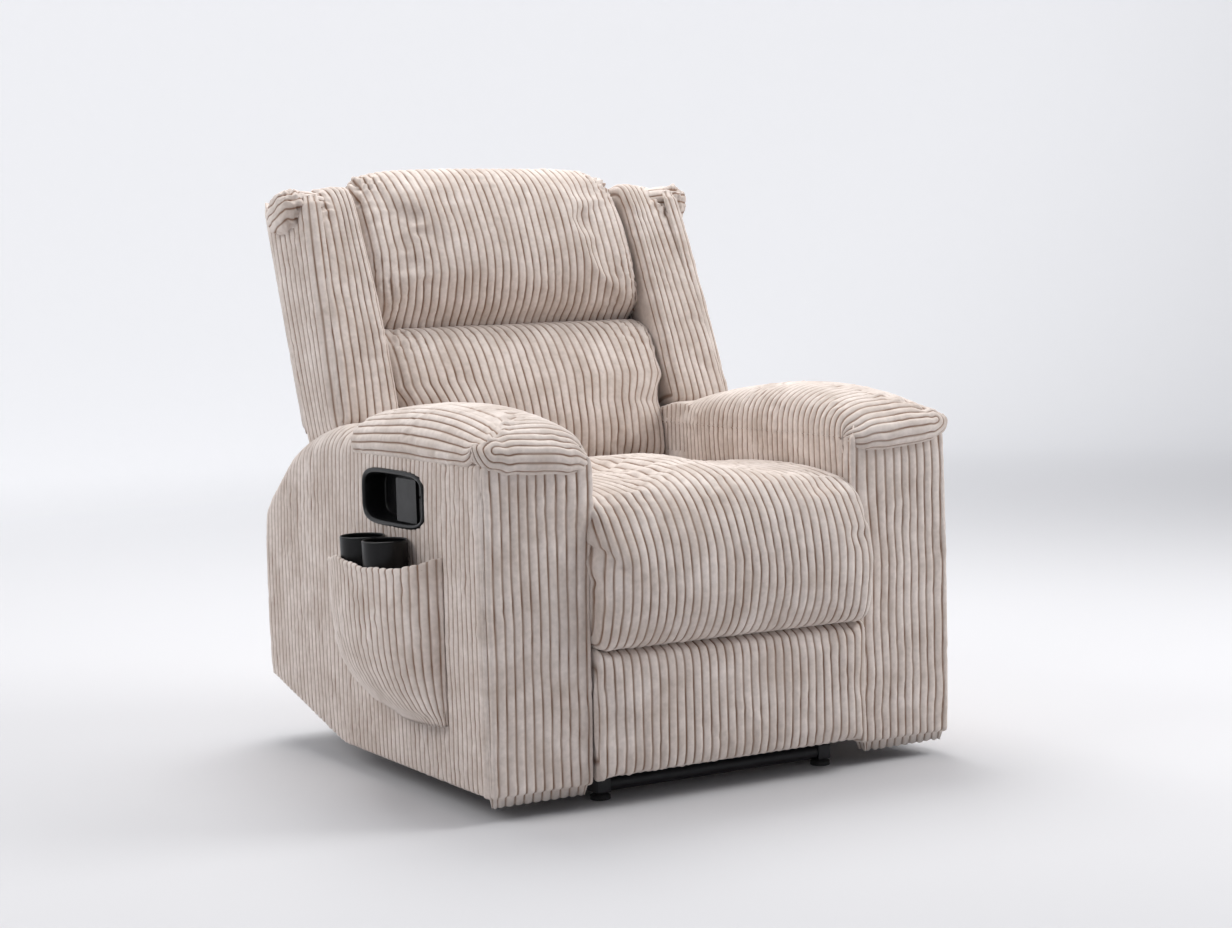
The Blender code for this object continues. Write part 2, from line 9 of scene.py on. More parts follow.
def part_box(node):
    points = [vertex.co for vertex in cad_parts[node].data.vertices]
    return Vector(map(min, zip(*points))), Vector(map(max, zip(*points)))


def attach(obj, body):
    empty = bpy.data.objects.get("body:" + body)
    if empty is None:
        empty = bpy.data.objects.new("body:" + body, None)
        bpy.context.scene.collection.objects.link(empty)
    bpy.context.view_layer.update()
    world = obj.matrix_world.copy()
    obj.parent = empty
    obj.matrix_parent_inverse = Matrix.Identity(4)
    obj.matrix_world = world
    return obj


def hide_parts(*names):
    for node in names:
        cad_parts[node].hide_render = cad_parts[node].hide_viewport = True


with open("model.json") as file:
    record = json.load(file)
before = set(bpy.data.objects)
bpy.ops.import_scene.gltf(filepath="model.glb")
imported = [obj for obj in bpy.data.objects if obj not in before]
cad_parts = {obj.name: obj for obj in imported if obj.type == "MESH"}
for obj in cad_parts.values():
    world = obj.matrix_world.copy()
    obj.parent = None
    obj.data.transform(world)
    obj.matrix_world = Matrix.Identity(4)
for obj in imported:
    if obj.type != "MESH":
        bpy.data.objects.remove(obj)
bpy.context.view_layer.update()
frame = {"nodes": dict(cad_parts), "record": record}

rightFront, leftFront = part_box("arm_front_panel_right"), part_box("arm_front_panel_left")
midX = (rightFront[0].x + leftFront[1].x) / 2
frontY = rightFront[0].y
halfWidth = (leftFront[1].x - rightFront[0].x) / 2  # middle of the chair to the outer face of an arm
armWidth = rightFront[1].x - rightFront[0].x
armInner = halfWidth - armWidth
armTop = rightFront[1].z
armFloor = rightFront[0].z
seatBox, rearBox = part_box("seat_cushion"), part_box("arm_outer_panel_right")
seatRear = seatBox[1].y - frontY
armRear = rearBox[1].y - frontY
lean = math.radians(20)
hinge = (seatRear + 0.124, armTop - 0.1427)  # back hinge (y, z)
shift = np.array([midX, frontY, 0.0])
ribPitch = 0.0160
ribHeight = 0.0036
fine = 8       # samples over one rib
alongStep = 0.014
alongFine = 3
print("frame read")


# grids of points

def resample(points, count, closed=False, smooth=True):
    pts = np.asarray(points, float)
    if closed:
        pts = np.vstack([pts, pts[:1]])
    if smooth:
        pts = refine(pts[:, None, :] if not closed else pts[:-1, None, :], 12, 1, closed, False)[:, 0, :]
        if closed:
            pts = np.vstack([pts, pts[:1]])
    steps = np.r_[0, np.cumsum(np.linalg.norm(np.diff(pts, axis=0), axis=1))]
    at = np.linspace(0, steps[-1], count + 1)[:-1] if closed else np.linspace(0, steps[-1], count)
    return np.stack([np.interp(at, steps, pts[:, k]) for k in range(pts.shape[1])], 1)


def refineAxis(grid, times, closed):  # Catmull-Rom through the rows of grid
    if times == 1:
        return grid
    n = len(grid)
    spans = n if closed else n - 1
    index = np.arange(spans)
    pick = (lambda k: k % n) if closed else (lambda k: np.clip(k, 0, n - 1))
    a, b, c, d = (grid[pick(index + k)] for k in (-1, 0, 1, 2))
    if not closed:
        a, d = a.copy(), d.copy()
        a[0] = 2 * grid[0] - grid[1]
        d[-1] = 2 * grid[-1] - grid[-2]
    t = (np.arange(times) / times).reshape((1, times) + (1,) * (grid.ndim - 1))
    a, b, c, d = (m[:, None] for m in (a, b, c, d))
    out = 0.5 * (2 * b + (c - a) * t + (2 * a - 5 * b + 4 * c - d) * t ** 2
                 + (3 * b - a - 3 * c + d) * t ** 3)
    out = out.reshape((spans * times,) + grid.shape[1:])
    return out if closed else np.concatenate([out, grid[-1:]])


def refine(grid, across, along, closedAcross, closedAlong):
    grid = refineAxis(np.asarray(grid, float), across, closedAcross)
    return np.swapaxes(refineAxis(np.swapaxes(grid, 0, 1), along, closedAlong), 0, 1)


def slopes(grid, axis, closed):
    if closed:
        return np.roll(grid, -1, axis) - np.roll(grid, 1, axis)
    return np.gradient(grid, axis=axis)


def gridNormals(grid, closedAlong):
    n = np.cross(slopes(grid, 0, False), slopes(grid, 1, closedAlong))
    n /= np.maximum(np.linalg.norm(n, axis=2, keepdims=True), 1e-12)
    return n


def wander(points, size, seed, octaves=5):  # smooth random field, about -1 to 1
    spread = np.random.default_rng(seed)
    flat = points.reshape(-1, 3) / size * 2 * math.pi
    total = np.zeros(len(flat))
    for k in range(octaves):
        way = spread.normal(size=3)
        way *= spread.uniform(0.7, 1.6) / np.linalg.norm(way)
        bend = spread.normal(size=3)
        bend *= 0.6 / np.linalg.norm(bend)
        swirl = 1.4 * np.sin(flat @ bend + spread.uniform(0, 6))
        total += np.sin(flat @ way + swirl + spread.uniform(0, 6.3))
    return (total / math.sqrt(octaves)).reshape(points.shape[:2])


def ribWave(u):  # 1 on a crest, 0 in a groove
    return np.abs(np.cos(math.pi * u / ribPitch)) ** 0.55


def meshFrom(name, grid, closedAlong, values, ends=True):
    ni, nj = grid.shape[:2]
    nums = np.arange(ni * nj).reshape(ni, nj)
    right = np.roll(nums, -1, 1) if closedAlong else nums[:, 1:]
    left = nums if closedAlong else nums[:, :-1]
    quads = np.stack([left[:-1], left[1:], right[1:], right[:-1]], -1).reshape(-1, 4)
    mesh = bpy.data.meshes.new(name)
    caps = [nums[0].tolist(), nums[-1][::-1].tolist()] if ends and closedAlong else []
    mesh.vertices.add(ni * nj)
    mesh.vertices.foreach_set("co", grid.reshape(-1).astype(np.float32))
    extra = sum(len(c) for c in caps)
    mesh.loops.add(len(quads) * 4 + extra)
    corners = np.r_[quads.reshape(-1), np.array(sum(caps, []), int)]
    mesh.loops.foreach_set("vertex_index", corners.astype(np.int32))
    starts = np.r_[np.arange(len(quads)) * 4, len(quads) * 4 + np.cumsum([0] + [len(c) for c in caps])[:-1]]
    mesh.polygons.add(len(quads) + len(caps))
    mesh.polygons.foreach_set("loop_start", starts.astype(np.int32))
    for key, data in values.items():
        layer = mesh.attributes.new(key, "FLOAT", "POINT")
        layer.data.foreach_set("value", data.reshape(-1).astype(np.float32))
    mesh.update(calc_edges=True)
    mesh.validate()
    mesh.shade_smooth()
    return mesh


def place3d(name, mesh):  # a new object in the scene
    obj = bpy.data.objects.new(name, mesh)
    bpy.context.scene.collection.objects.link(obj)
    return obj


def volumeSign(grid, closedAlong):
    centre = grid.reshape(-1, 3).mean(0)
    return np.sign(np.sum(gridNormals(grid, closedAlong) * (grid - centre)))


def puff(name, grid, held, pressure=4.0, cap=0.022, frames=16, stiffness=12.0):
    mesh = meshFrom(name + "Cloth", grid, True, {})
    obj = place3d(name + "Cloth", mesh)
    pins = obj.vertex_groups.new(name="held")
    for index in np.flatnonzero(held.reshape(-1)):
        pins.add([int(index)], 1.0, "REPLACE")
    cloth = obj.modifiers.new("cloth", "CLOTH")
    made = cloth.settings
    made.quality = 4
    made.mass = 0.25
    made.use_pressure = True
    made.uniform_pressure_force = pressure * volumeSign(grid, True)
    made.tension_stiffness = stiffness
    made.compression_stiffness = stiffness
    made.shear_stiffness = 4
    made.bending_stiffness = 1.5
    made.vertex_group_mass = "held"
    made.effector_weights.gravity = 0
    cloth.point_cache.frame_start, cloth.point_cache.frame_end = 1, frames
    scene = bpy.context.scene
    for frameNo in range(1, frames + 1):
        scene.frame_set(frameNo)
    solved = obj.evaluated_get(bpy.context.evaluated_depsgraph_get()).to_mesh()
    co = np.zeros(len(solved.vertices) * 3, np.float32)
    solved.vertices.foreach_get("co", co)
    moved = co.reshape(grid.shape).astype(float) - grid
    far = np.linalg.norm(moved, axis=2, keepdims=True)
    moved *= np.tanh(far / cap) * cap / np.maximum(far, 1e-9)
    bpy.data.objects.remove(obj)
    bpy.data.meshes.remove(mesh)
    scene.frame_set(1)
    print("inflated", name, "up to mm", round(1000 * float(np.linalg.norm(moved, axis=2).max()), 1))
    return grid + moved


def cover(name, points, closedAlong, wave, ends, replaced, body):  # cord over one stuffed piece
    mesh = meshFrom(name, points, closedAlong, {"groove": 1 - wave}, ends)
    obj = place3d(name, mesh)
    mesh.materials.append(corduroy)
    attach(obj, body)
    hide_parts(*replaced)
    print("made", name, len(mesh.polygons))


def moulded(name, grid, body, replaced):  # one hard black piece
    obj = place3d(name, meshFrom(name, grid, True, {}, False))
    obj.data.materials.append(looks["black_plastic"])
    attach(obj, body)
    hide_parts(replaced)
    print("made", name)


def fabric(name, grid, u, replaced, body, place=None, closedAlong=True, seed=1, along=alongFine,
           across=fine, creases=0.0009, height=ribHeight, field=None, ends=True, weight=None,
           gathers=(), after=None):
    weight = np.ones_like(u) if weight is None else weight
    packed = np.concatenate([grid, u[..., None], weight[..., None]], 2)
    packed = refine(packed, across, along, False, closedAlong)
    points, u, weight = packed[..., :3], packed[..., 3], np.clip(packed[..., 4], 0, 1)
    if field:
        u = field(points, u)
    normal = gridNormals(points, closedAlong) * (volumeSign(points, closedAlong) if closedAlong else 1)
    nap = wander(points, 0.11, seed)
    drift = 0.0011 * wander(points, 0.16, seed + 1)
    wave = 1 - (1 - ribWave(u + drift)) * weight
    small = wander(points, 0.034, seed + 2) * np.clip(nap + 0.2, 0, 1)
    lift = height * (wave - 0.8) * (1 + 0.12 * nap) + creases * small
    for centre, reach, strength in gathers:
        near = np.exp(-(np.linalg.norm(points - np.array(centre), axis=2) / reach) ** 2)
        pucker = wander(points, 0.026, seed + 3) + 0.6 * wander(points, 0.013, seed + 4)
        lift = lift + strength * near * pucker
        # painted shade: in the dimples of each gather the colour is pushed towards the dark groove colour
        wave = wave * (1 - 0.25 * near * np.clip(-pucker, 0, 1))
    points = points + normal * (lift * weight)[..., None]
    if after:
        points = after(points)
    if place is not None:
        points = points @ place[0].T + place[1]
    cover(name, points + shift, closedAlong, wave, ends, replaced, body)


# materials

def group(name, sockets, build):
    tree = bpy.data.node_groups.new(name, "ShaderNodeTree")
    for label, kind, direction, value in sockets:
        made = tree.interface.new_socket(label, in_out=direction, socket_type=kind)
        if value is not None:
            made.default_value = value
    build(tree, tree.nodes.new("NodeGroupInput"), tree.nodes.new("NodeGroupOutput"))
    return tree


def node(tree, kind, inputs=None, **settings):
    made = tree.nodes.new(kind)
    for key, value in settings.items():
        setattr(made, key, value)
    for key, value in (inputs or {}).items():
        if isinstance(value, bpy.types.NodeSocket):
            tree.links.new(value, made.inputs[key])
        else:
            made.inputs[key].default_value = value
    return made


def pileBuild(tree, given, out):  # cord colour from the groove value, the grooves darkened with painted shade, blotched where the nap lies flat
    where = node(tree, "ShaderNodeTexCoord").outputs["Object"]
    blotch = node(tree, "ShaderNodeTexNoise", {"Vector": where, "Scale": 16.0, "Detail": 3.0,
                                               "Roughness": 0.6})
    soft = node(tree, "ShaderNodeTexNoise", {"Vector": where, "Scale": 120.0, "Detail": 2.0})
    fuzz = node(tree, "ShaderNodeTexNoise", {"Vector": where, "Scale": 1400.0, "Detail": 2.0})
    spread = node(tree, "ShaderNodeMapRange", {"Value": blotch.outputs["Fac"], "From Min": 0.35,
                                               "From Max": 0.68, "To Min": 0.0, "To Max": 1.0})
    crest = node(tree, "ShaderNodeMix", {0: spread.outputs["Result"], 6: given.outputs["Dark Nap"],
                                         7: given.outputs["Light Nap"]}, data_type="RGBA")
    speck = node(tree, "ShaderNodeMapRange", {"Value": soft.outputs["Fac"], "From Min": 0.3, "From Max": 0.7,
                                              "To Min": 0.93, "To Max": 1.05})
    dusted = node(tree, "ShaderNodeVectorMath", {0: crest.outputs[2], "Scale": speck.outputs["Result"]},
                  operation="SCALE")
    # painted shade: towards the bottom of each groove the colour is mixed to the dark groove colour, partly
    # the weave's own tone and partly painted shade
    deep = node(tree, "ShaderNodeMapRange", {"Value": given.outputs["Groove"], "From Min": 0.22,
                                             "From Max": 0.78, "To Min": 0.0, "To Max": 1.0},
                interpolation_type="SMOOTHSTEP")
    colour = node(tree, "ShaderNodeMix", {0: deep.outputs["Result"], 6: dusted.outputs["Vector"],
                                          7: given.outputs["Groove Colour And Shade"]}, data_type="RGBA")
    tree.links.new(colour.outputs[2], out.inputs["Colour"])
    rough = node(tree, "ShaderNodeMapRange", {"Value": spread.outputs["Result"], "To Min": 0.95,
                                              "To Max": 0.78})
    tree.links.new(rough.outputs["Result"], out.inputs["Roughness"])
    bump = node(tree, "ShaderNodeMath", {0: fuzz.outputs["Fac"], 1: soft.outputs["Fac"]}, operation="ADD")
    tree.links.new(bump.outputs["Value"], out.inputs["Height"])


pile = group("cordPile", [
    ("Groove", "NodeSocketFloat", "INPUT", 0.0), ("Light Nap", "NodeSocketColor", "INPUT", None),
    ("Dark Nap", "NodeSocketColor", "INPUT", None), ("Groove Colour And Shade", "NodeSocketColor", "INPUT", None),
    ("Colour", "NodeSocketColor", "OUTPUT", None), ("Roughness", "NodeSocketFloat", "OUTPUT", None),
    ("Height", "NodeSocketFloat", "OUTPUT", None)], pileBuild)


def paint(name, build):
    made = bpy.data.materials.new(name)
    made.use_nodes = True
    tree = made.node_tree
    build(tree, tree.nodes["Principled BSDF"])
    return made


def corduroyBuild(tree, shader):
    cord = node(tree, "ShaderNodeGroup", node_tree=pile)
    cord.inputs["Light Nap"].default_value = (0.790, 0.706, 0.654, 1)
    cord.inputs["Dark Nap"].default_value = (0.610, 0.525, 0.470, 1)
    # groove colour: the weave's own brown, darkened further with painted shade
    cord.inputs["Groove Colour And Shade"].default_value = (0.262, 0.160, 0.108, 1)
    value = node(tree, "ShaderNodeAttribute", attribute_name="groove")
    tree.links.new(value.outputs["Fac"], cord.inputs["Groove"])
    tree.links.new(cord.outputs["Colour"], shader.inputs["Base Color"])
    tree.links.new(cord.outputs["Roughness"], shader.inputs["Roughness"])
    bump = node(tree, "ShaderNodeBump", {"Height": cord.outputs["Height"], "Strength": 0.25,
                                         "Distance": 0.0006})
    tree.links.new(bump.outputs["Normal"], shader.inputs["Normal"])
    shader.inputs["Sheen Weight"].default_value = 0.35
    shader.inputs["Sheen Roughness"].default_value = 0.45
    shader.inputs["Sheen Tint"].default_value = (1.0, 0.95, 0.9, 1)
    shader.inputs["Specular IOR Level"].default_value = 0.25


corduroy = paint("corduroy", corduroyBuild)


def grainBuild(tree, given, out):
    where = node(tree, "ShaderNodeTexCoord").outputs["Object"]
    coarse = node(tree, "ShaderNodeTexNoise", {"Vector": where, "Scale": 60.0, "Detail": 4.0})
    tiny = node(tree, "ShaderNodeTexNoise", {"Vector": where, "Scale": 1800.0, "Detail": 2.0})
    value = node(tree, "ShaderNodeMapRange", {"Value": coarse.outputs["Fac"], "From Min": 0.3,
                                              "From Max": 0.7, "To Min": 0.85, "To Max": 1.15})
    colour = node(tree, "ShaderNodeVectorMath", {0: given.outputs["Base"], "Scale": value.outputs["Result"]},
                  operation="SCALE")
    rough = node(tree, "ShaderNodeMapRange", {"Value": coarse.outputs["Fac"], "To Min": given.outputs["Low"],
                                              "To Max": given.outputs["High"]})
    tree.links.new(colour.outputs["Vector"], out.inputs["Colour"])
    tree.links.new(rough.outputs["Result"], out.inputs["Roughness"])
    tree.links.new(tiny.outputs["Fac"], out.inputs["Height"])


grain = group("fineGrain", [
    ("Base", "NodeSocketColor", "INPUT", None), ("Low", "NodeSocketFloat", "INPUT", 0.3),
    ("High", "NodeSocketFloat", "INPUT", 0.5), ("Colour", "NodeSocketColor", "OUTPUT", None),
    ("Roughness", "NodeSocketFloat", "OUTPUT", None),
    ("Height", "NodeSocketFloat", "OUTPUT", None)], grainBuild)


def hardMaterial(name, colour, low, high, metallic=0.0, bumpStrength=0.1):
    def build(tree, shader):
        made = node(tree, "ShaderNodeGroup", node_tree=grain)
        made.inputs["Base"].default_value = (*colour, 1)
        made.inputs["Low"].default_value = low
        made.inputs["High"].default_value = high
        tree.links.new(made.outputs["Colour"], shader.inputs["Base Color"])
        tree.links.new(made.outputs["Roughness"], shader.inputs["Roughness"])
        bump = node(tree, "ShaderNodeBump", {"Height": made.outputs["Height"], "Strength": bumpStrength,
                                             "Distance": 0.0003})
        tree.links.new(bump.outputs["Normal"], shader.inputs["Normal"])
        shader.inputs["Metallic"].default_value = metallic
        shader.inputs["Specular IOR Level"].default_value = 0.5 if colour[0] > 0.01 else 0.32
    return paint(name, build)


looks = {
    "black_steel": hardMaterial("blackSteel", (0.022, 0.022, 0.024), 0.35, 0.55, 0.3),
    "plywood": hardMaterial("plywood", (0.50, 0.36, 0.21), 0.6, 0.85),
    "glide_rubber": hardMaterial("glideRubber", (0.018, 0.018, 0.018), 0.6, 0.85),
    "actuator_alloy": hardMaterial("actuatorAlloy", (0.62, 0.63, 0.64), 0.25, 0.4, 1.0, 0.05),
    "spring_wire": hardMaterial("springWire", (0.42, 0.42, 0.43), 0.3, 0.45, 1.0),
    "black_plastic": hardMaterial("blackPlastic", (0.0035, 0.0035, 0.004), 0.30, 0.46, 0.0, 0.15),
    "corduroy": corduroy,
}
slotOf = {entry["node"]: entry["material_slot"] for entry in frame["record"]["subparts"]}
for name, obj in frame["nodes"].items():
    obj.data.materials.clear()
    obj.data.materials.append(looks[slotOf[name]])
print("materials made")


# cushions: a side outline carried across the chair

def outlineRing(outline, step=alongStep):
    pts = resample(outline, 400, closed=True)
    length = np.linalg.norm(np.diff(np.vstack([pts, pts[:1]]), axis=0), axis=1).sum()
    ring = resample(pts, int(round(length / step)), closed=True, smooth=False)
    tangent = np.roll(ring, -1, 0) - np.roll(ring, 1, 0)
    out = np.stack([tangent[:, 1], -tangent[:, 0]], 1)
    out /= np.linalg.norm(out, axis=1, keepdims=True)
    area = np.sum(ring[:, 0] * np.roll(ring[:, 1], -1) - np.roll(ring[:, 0], -1) * ring[:, 1])
    return ring, out * np.sign(area)


def bolster(outline, x0, x1, edge, keep=0.0, capDepth=0.6):  # grid: stations across, points round
    ring, out = outlineRing(outline)
    centre = (ring.min(0) + ring.max(0)) / 2
    reach = np.min(np.ptp(ring, axis=0)) / 2
    depth = max(reach - edge, 0.01) * capDepth
    turn = np.linspace(0, math.pi / 2, 12)
    left = [(x0, edge + depth)] + [(x0 + edge * (1 - math.cos(t)), edge * (1 - math.sin(t))) for t in turn]
    path = left + [(x1 - (x - x0), inset) for x, inset in left[::-1]]
    lengths = np.r_[0, np.cumsum(np.linalg.norm(np.diff(np.array(path), axis=0), axis=1))]
    count = int(round(lengths[-1] / ribPitch)) + 1
    stations = resample(path, count, smooth=False)
    middle = lengths[-1] / 2
    u = np.linspace(-middle, middle, count)
    grid = np.zeros((count, len(ring), 3))
    weight = np.zeros((count, len(ring)))
    for i, (x, inset) in enumerate(stations):
        pull = min(inset, edge)
        weight[i] = np.clip(1.2 - max(inset - edge - keep, 0) / 0.016, 0, 1)
        level = ring - out * pull
        if inset > edge:
            level = level + (centre - level) * (inset - edge) / max(reach - edge, 0.01)
        grid[i, :, 0] = x
        grid[i, :, 1:] = level
    return grid, np.repeat(u[:, None], len(ring), 1), weight


leanTurn = np.array([[1, 0, 0], [0, math.cos(lean), math.sin(lean)], [0, -math.sin(lean), math.cos(lean)]])
backPlace = (leanTurn, np.array([0, *hinge]))
seatGap = armInner - 0.0012

seatShape = dict(
    outline=[(0.060, 0.300), (0.040, 0.259), (0.004, 0.2555), (-0.024, 0.259), (-0.041, 0.285),
             (-0.050, 0.335),
             (-0.050, 0.395), (-0.040, 0.447), (-0.014, 0.488), (0.036, 0.512), (0.120, 0.523),
             (0.230, 0.525),
             (0.350, 0.519), (0.480, 0.503), (0.566, 0.488), (0.584, 0.470), (0.584, 0.380), (0.560, 0.354),
             (0.300, 0.353), (0.090, 0.350)],
    edge=0.018)


def makeSeat():
    grid, u, calm = bolster(seatShape["outline"], -seatGap, seatGap, seatShape["edge"], keep=0.040)
    held = (grid[..., 1] > 0.02) & (grid[..., 2] < 0.40)
    grid = puff("seatCushion", grid, held, 3.0, 0.014)
    fabric("seatCushion", grid, u, ["seat_cushion"], "chassis", seed=11, weight=calm)


footShape = dict(
    outline=[(0.0165, 0.056), (0.004, 0.0505), (-0.012, 0.0515), (-0.019, 0.062), (-0.021, 0.150),
             (-0.019, 0.236),
             (-0.012, 0.2505), (0.004, 0.2535), (0.0165, 0.250), (0.0168, 0.150)],
    edge=0.0045)


def makeFootrest():
    grid, u, calm = bolster(footShape["outline"], -seatGap - 0.0009, seatGap + 0.0009, footShape["edge"])
    held = grid[..., 1] > 0.012
    grid = puff("footrestPad", grid, held, 2.0, 0.005)
    fabric("footrestPad", grid, u, ["footrest_pad"], "footrest_panel", seed=21, weight=calm)


lumbarShape = dict(
    outline=[(-0.044, 0.034), (-0.085, 0.026), (-0.120, 0.044), (-0.136, 0.090), (-0.142, 0.160),
             (-0.138, 0.230),
             (-0.124, 0.285), (-0.100, 0.318), (-0.070, 0.330), (-0.044, 0.328), (-0.042, 0.180)],
    edge=0.018)
headShape = dict(
    outline=[(-0.044, 0.340), (-0.072, 0.337), (-0.102, 0.346), (-0.126, 0.372), (-0.139, 0.420),
             (-0.141, 0.470),
             (-0.134, 0.535), (-0.118, 0.592), (-0.090, 0.634), (-0.054, 0.651), (-0.022, 0.644),
             (-0.006, 0.620),
             (-0.012, 0.606), (-0.040, 0.600), (-0.043, 0.470)],
    edge=0.036)


headHalf = armInner + 0.024


def makeBackCushions():
    grid, u, calm = bolster(lumbarShape["outline"], -armInner + 0.001, armInner - 0.001, lumbarShape["edge"])
    grid[..., 0] *= 1 + 0.086 * np.clip((grid[..., 2] - 0.150) / 0.050, 0, 1)
    grid = puff("lumbarCushion", grid, grid[..., 1] > -0.06, 4.0, 0.012)
    corners = [((side * 0.245, -0.115, 0.30), 0.045, 0.0022) for side in (-1, 1)]
    fabric("lumbarCushion", grid, u, ["lumbar_cushion"], "backrest", backPlace, seed=31, weight=calm,
           gathers=corners)
    grid, u, calm = bolster(headShape["outline"], -headHalf, headHalf, headShape["edge"])
    aside = np.abs(grid[..., 0]) / headHalf
    high = np.clip((grid[..., 2] - 0.50) / 0.14, 0, 1)
    grid[..., 2] += high * (0.004 - 0.034 * aside ** 7)
    grid[..., 0] *= 1 - 0.012 * high ** 2
    grid = puff("headCushion", grid, (grid[..., 1] > -0.06) & (grid[..., 2] < 0.60), 4.0, 0.012)
    corners = [((side * 0.272, -0.080, 0.605), 0.042, 0.0055) for side in (-1, 1)]
    corners += [((side * 0.268, -0.115, 0.40), 0.050, 0.0020) for side in (-1, 1)]
    fabric("headCushion", grid, u, ["head_cushion"], "backrest", backPlace, seed=41, weight=calm,
           gathers=corners)


wingShape = dict(
    outline=[(-0.030, 0.134), (-0.100, 0.131), (-0.146, 0.131), (-0.158, 0.170), (-0.157, 0.280),
             (-0.149, 0.400),
             (-0.140, 0.500), (-0.132, 0.555), (-0.117, 0.594), (-0.088, 0.613), (-0.052, 0.618),
             (-0.022, 0.608),
             (-0.004, 0.586), (-0.004, 0.566), (-0.022, 0.550), (-0.036, 0.350)],
    edge=0.020, inner=0.0225, outer=0.042, rollFrom=0.545, taper=0.024, endDrop=0.022)
cheekShape = dict(inset=0.031, front=-0.139, rear=-0.0132, low=0.129, top=0.562)


def mirrored(grid, side):
    grid = grid.copy()
    grid[..., 0] *= side
    return grid


def taperOut(x, r, h):  # the front of the back narrows towards the top
    risen = np.clip((h - 0.13) / 0.45, 0, 1)
    forward = np.clip((-r - 0.013) / 0.125, 0, 1)
    outward = np.clip((np.abs(x) - (armInner + 0.030)) / 0.060, 0, 1)
    return x - np.sign(x) * wingShape["taper"] * risen * forward * outward


def rollOver(grid):  # the outer end of a wing's top roll drops and hangs over the side panel
    shape = wingShape
    grid = grid.copy()
    x, r, h = grid[..., 0].copy(), grid[..., 1].copy(), grid[..., 2].copy()
    high = np.clip((h - shape["rollFrom"]) / 0.025, 0, 1)
    end = np.clip((x - (halfWidth - 0.125)) / 0.083, 0, 1) ** 2
    tight = 1 - 0.20 * end * high
    grid[..., 1] = -0.075 + (r + 0.075) * tight
    grid[..., 2] = 0.565 + (h - 0.565) * tight - shape["endDrop"] * end * high
    grid[..., 0] = taperOut(x, r, h)
    return grid


def taperCheek(points):
    points = points.copy()
    points[..., 0] = taperOut(*np.moveaxis(points, -1, 0))
    return points


def makeWings():
    shape = wingShape
    for label, side in (("Right", -1), ("Left", 1)):
        grid, u, calm = bolster(shape["outline"], armInner + shape["inner"], halfWidth - shape["outer"],
                                shape["edge"])
        grid = puff("wing" + label, rollOver(grid), grid[..., 1] > -0.05, 3.0, 0.006)
        ends = [((side * (halfWidth - 0.088), r, h), 0.026, 0.0028)
                for r, h in ((-0.132, 0.545), (-0.116, 0.580), (-0.075, 0.600), (-0.030, 0.592))]
        fabric("wing" + label, mirrored(grid, side), u, ["back_wing_" + label.lower()], "backrest", backPlace,
               seed=50 + side, weight=calm, gathers=ends)
        rollEnd(label, side)
        wingCheek(label, side)


rollShape = dict(
    centre=(-0.072, 0.563), halfDeep=0.054, halfTall=0.037, around=48,
    profile=[(0.108, 0.80), (0.090, 0.93), (0.070, 1.0), (0.050, 1.03), (0.037, 1.01), (0.029, 0.95),
             (0.0240, 0.87),
             (0.0210, 0.75), (0.0195, 0.55), (0.0188, 0.30), (0.0185, 0.03)])


def rollEnd(label, side):  # stuffed end of the top roll, gathered all round
    shape = rollShape
    angles = np.linspace(0, 2 * math.pi, shape["around"], endpoint=False)
    grid = np.array([[(halfWidth - inset, shape["centre"][0] + shape["halfDeep"] * size * math.cos(t),
                       shape["centre"][1] + shape["halfTall"] * size * math.sin(t)) for t in angles]
                     for inset, size in shape["profile"]])
    ring = [((side * (halfWidth - 0.046), shape["centre"][0] + 0.05 * math.cos(t),
              shape["centre"][1] + 0.035 * math.sin(t)), 0.020, 0.0034) for t in angles[::6]]
    fabric("rollEnd" + label, mirrored(grid, side), grid[..., 2], ["back_wing_" + label.lower()], "backrest",
           backPlace, seed=55 + side, along=4, across=5, gathers=ring, height=0.0026,
           field=lambda points, u: points[..., 2] + 0.0012 * wander(points, 0.05, 58 + side))


def wingCheek(label, side):  # outer side of the back, wrapped round its front and rear corners
    shape = cheekShape
    outer = halfWidth - shape["inset"]
    path = planPath([(outer - 0.030, shape["front"]), (outer, shape["front"]), (outer, shape["rear"]),
                     (outer - 0.020, shape["rear"])], {1: 0.012, 2: 0.008})
    upright("wingCheek" + label, path, side, lambda y: shape["low"], lambda y: shape["top"],
            ["back_wing_" + label.lower()], "backrest", 60 + side, place=backPlace, thick=0.010, bulge=0.003,
            after=taperCheek)


# upright panels: a plan path with ribs running up

def planPath(points, corner):  # (x, y) path with rounded corners
    out = []
    for k, p in enumerate(points):
        p = np.array(p, float)
        if k in (0, len(points) - 1):
            out.append(p)
            continue
        a = np.array(points[k - 1]) - p
        b = np.array(points[k + 1]) - p
        a, b = a / np.linalg.norm(a), b / np.linalg.norm(b)
        r = corner[k]
        centre = p + (a + b) * r
        for t in np.linspace(0, math.pi / 2, 8):
            out.append(centre - b * r * math.cos(t) - a * r * math.sin(t))
    return np.array(out)


